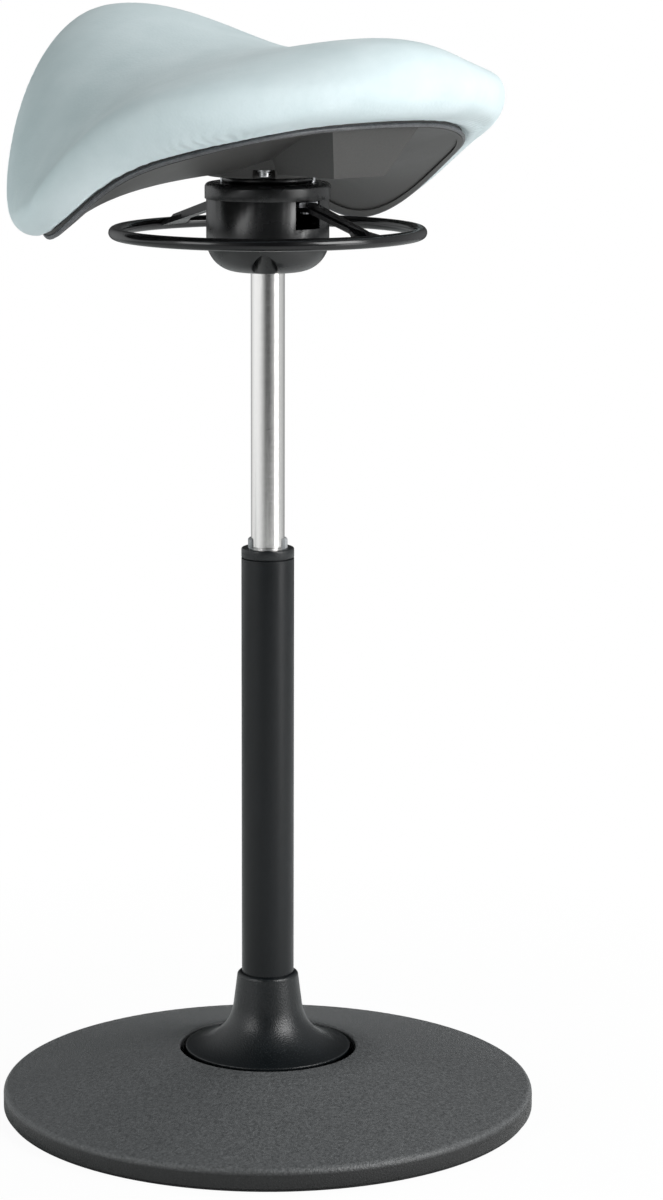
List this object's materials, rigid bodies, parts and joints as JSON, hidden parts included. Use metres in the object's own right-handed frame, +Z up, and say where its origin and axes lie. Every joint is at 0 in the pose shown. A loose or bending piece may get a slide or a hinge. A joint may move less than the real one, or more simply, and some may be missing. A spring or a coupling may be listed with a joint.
{
  "type": "saddle stool",
  "caption": "Height-adjustable saddle stool: upholstered saddle seat on a gas-spring column that tilts in a weighted round base, with a ring under the seat to release the height.",
  "frame": {"origin": "on the floor, at the centre of the round base's underside", "axes": "+Z up along the column; the saddle is symmetric across X, its high end towards +Y and its broad low end towards -Y"},
  "size_m": [0.4516, 0.4516, 0.928],
  "materials": {
    "rubber": "matt black moulded rubber",
    "steel": "plain machined steel",
    "iron": "painted cast iron",
    "base_plastic": "charcoal fine-grained moulding",
    "black_steel": "black satin powder coat",
    "boot_plastic": "black grained moulding",
    "guide_plastic": "light grey acetal",
    "brass": "turned brass",
    "chrome": "brushed bright chrome",
    "aluminium": "turned aluminium",
    "hub_plastic": "black satin moulding",
    "zinc": "bright zinc plate",
    "shell_plastic": "dark grey moulding",
    "foam": "moulded foam",
    "upholstery": "pale ice-blue stretch upholstery",
    "black_lever": "black smooth moulding"
  },
  "bodies": {
    "base": {"floor_ring": "rubber", "base_plate": "steel", "bush_housing": "steel", "housing_bolts": "steel", "base_weight": "iron", "base_casing": "base_plastic"},
    "bush": {"tilt_bush": "rubber"},
    "column": {"column_socket": "steel", "column_tube": "black_steel", "column_boot": "boot_plastic", "tube_cap": "boot_plastic", "guide_bush": "guide_plastic", "lower_washer": "steel"},
    "gas_rod": {"ball_cage": "brass", "thrust_balls": "steel", "upper_washer": "steel", "rod_clip": "steel", "piston_rod": "chrome", "piston": "aluminium", "piston_seal": "rubber", "piston_nut": "steel"},
    "seat": {"pressure_tube": "chrome", "tube_gland": "guide_plastic", "valve_body": "brass", "hub_housing": "hub_plastic", "hub_cap": "hub_plastic", "seat_spacer": "hub_plastic", "housing_screws": "zinc", "hub_bolts": "zinc", "seat_shell": "shell_plastic", "insert_plate": "steel", "seat_screws": "zinc", "seat_washers": "zinc", "seat_foam": "foam", "seat_cover": "upholstery"},
    "release_lever": {"release_ring": "black_lever", "release_yoke": "steel", "yoke_rivets": "steel"},
    "valve": {"valve_pin": "steel"}
  },
  "joints": [
    {"name": "tilt_sideways", "type": "hinge", "parent": "base", "child": "bush", "pos_m": [0, 0, 0.024], "axis": [0, 1, 0], "range_deg": [-7, 7], "stiffness_Nm_per_rad": 400, "deforming": ["tilt_bush"]},
    {"name": "tilt_lengthwise", "type": "hinge", "parent": "bush", "child": "column", "pos_m": [0, 0, 0.024], "axis": [1, 0, 0], "range_deg": [-7, 7], "stiffness_Nm_per_rad": 400, "deforming": ["tilt_bush"]},
    {"name": "seat_swivel", "type": "hinge", "parent": "column", "child": "gas_rod", "pos_m": [0, 0, 0.085], "axis": [0, 0, 1], "continuous": true},
    {"name": "seat_height", "type": "slide", "parent": "gas_rod", "child": "seat", "axis": [0, 0, 1], "range_m": [-0.215, 0]},
    {"name": "ring_lift", "type": "hinge", "parent": "seat", "child": "release_lever", "pos_m": [0, -0.047, 0.772], "axis": [-1, 0, 0], "range_deg": [0, 5], "stiffness_Nm_per_rad": 10, "springref_deg": -5.73},
    {"name": "valve_press", "type": "slide", "parent": "seat", "child": "valve", "axis": [0, 0, -1], "range_m": [0, 0.00411]}
  ],
  "couplings": [
    {"joint": "valve_press", "follows": "ring_lift", "m_per_rad": 0.047}
  ]
}
